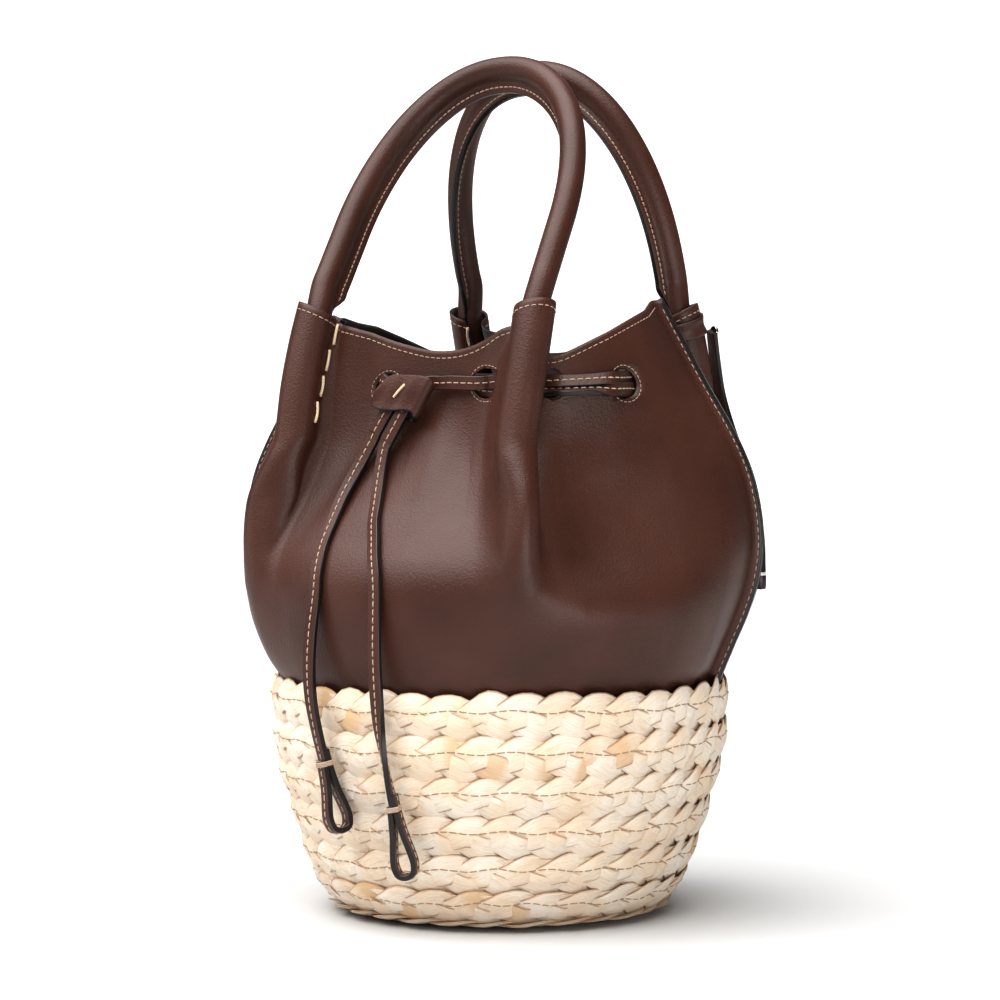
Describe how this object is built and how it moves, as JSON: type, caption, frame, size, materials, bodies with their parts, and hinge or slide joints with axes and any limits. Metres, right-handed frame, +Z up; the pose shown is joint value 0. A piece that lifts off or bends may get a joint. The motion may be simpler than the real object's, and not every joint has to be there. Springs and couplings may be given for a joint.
{
  "type": "bucket bag",
  "caption": "Small round bucket bag: plaited straw basket, gathered leather upper, flat leather drawstrings with keepers, tubular handles.",
  "frame": {"origin": "centre of the flat bottom", "axes": "+Z up, the front faces -Y, the handles lie along X"},
  "size_m": [0.2472, 0.2338, 0.4104],
  "materials": {
    "straw": "dry plaited husk, pale cream with tan lobes",
    "board": "grey-brown fibre board",
    "cotton": "plain cotton",
    "leather": "smooth fine-grain leather, soft sheen",
    "leather_edge": "painted edge, semi-gloss",
    "thread": "waxed cream thread",
    "core_cord": "twisted cotton cord",
    "stud_metal": "polished",
    "tip_plastic": "dark gloss"
  },
  "bodies": {
    "bag": {"basket_base": "straw", "base_board": "board", "lining": "cotton", "front_panel": "leather", "back_panel": "leather", "side_seam_right": "leather_edge", "side_seam_left": "leather_edge", "basket_row_1": "straw", "basket_row_2": "straw", "basket_row_3": "straw", "basket_row_4": "straw", "basket_row_5": "straw", "basket_row_6": "straw", "sleeve_front_left": "leather", "sleeve_front_right": "leather", "sleeve_back_right": "leather", "sleeve_back_left": "leather", "sleeve_stitches": "thread", "handle_front_feet": "leather", "drawstring_front": "leather", "handle_back_feet": "leather", "drawstring_back": "leather", "fob_loop": "leather", "fob_stud": "stud_metal"},
    "handle_front": {"handle_front_skin": "leather", "handle_front_core": "core_cord"},
    "keeper_front": {"keeper_front": "leather", "keeper_front_stitch": "thread"},
    "tail_front_left": {"tail_front_left": "leather", "tail_front_left_loop": "leather_edge", "tail_front_left_tie": "thread"},
    "tail_front_right": {"tail_front_right": "leather", "tail_front_right_loop": "leather_edge", "tail_front_right_tie": "thread"},
    "handle_back": {"handle_back_skin": "leather", "handle_back_core": "core_cord"},
    "keeper_back": {"keeper_back": "leather", "keeper_back_stitch": "thread"},
    "tail_back_left": {"tail_back_left": "leather", "tail_back_left_loop": "leather_edge", "tail_back_left_tie": "thread"},
    "tail_back_right": {"tail_back_right": "leather", "tail_back_right_loop": "leather_edge", "tail_back_right_tie": "thread"},
    "fob": {"fob_strap": "leather", "fob_tip": "tip_plastic"}
  },
  "joints": [
    {"name": "handle_front_tilt", "type": "hinge", "parent": "bag", "child": "handle_front", "pos_m": [0, -0.0577, 0.294], "axis": [1, 0, 0], "range_deg": [0, 70]},
    {"name": "handle_back_tilt", "type": "hinge", "parent": "bag", "child": "handle_back", "pos_m": [0, 0.0634, 0.294], "axis": [-1, 0, 0], "range_deg": [0, 50]},
    {"name": "keeper_front_slide", "type": "slide", "parent": "bag", "child": "keeper_front", "axis": [-0.4384, -0.1869, -0.8792], "range_m": [0, 0.012]},
    {"name": "tail_front_left_swing", "type": "hinge", "parent": "bag", "child": "tail_front_left", "pos_m": [-0.02, -0.074, 0.227], "axis": [-1, 0, 0], "range_deg": [0, 45]},
    {"name": "tail_front_right_swing", "type": "hinge", "parent": "bag", "child": "tail_front_right", "pos_m": [-0.0125, -0.075, 0.223], "axis": [-1, 0, 0], "range_deg": [0, 45]},
    {"name": "keeper_back_slide", "type": "slide", "parent": "bag", "child": "keeper_back", "axis": [0.4384, 0.1869, -0.8792], "range_m": [0, 0.012]},
    {"name": "tail_back_left_swing", "type": "hinge", "parent": "bag", "child": "tail_back_left", "pos_m": [0.02, 0.074, 0.227], "axis": [1, 0, 0], "range_deg": [0, 45]},
    {"name": "tail_back_right_swing", "type": "hinge", "parent": "bag", "child": "tail_back_right", "pos_m": [0.0125, 0.075, 0.223], "axis": [1, 0, 0], "range_deg": [0, 45]},
    {"name": "fob_swing", "type": "hinge", "parent": "bag", "child": "fob", "pos_m": [0.073, 0.075, 0.277], "axis": [0.6429, -0.7659, 0], "range_deg": [0, 40]}
  ]
}
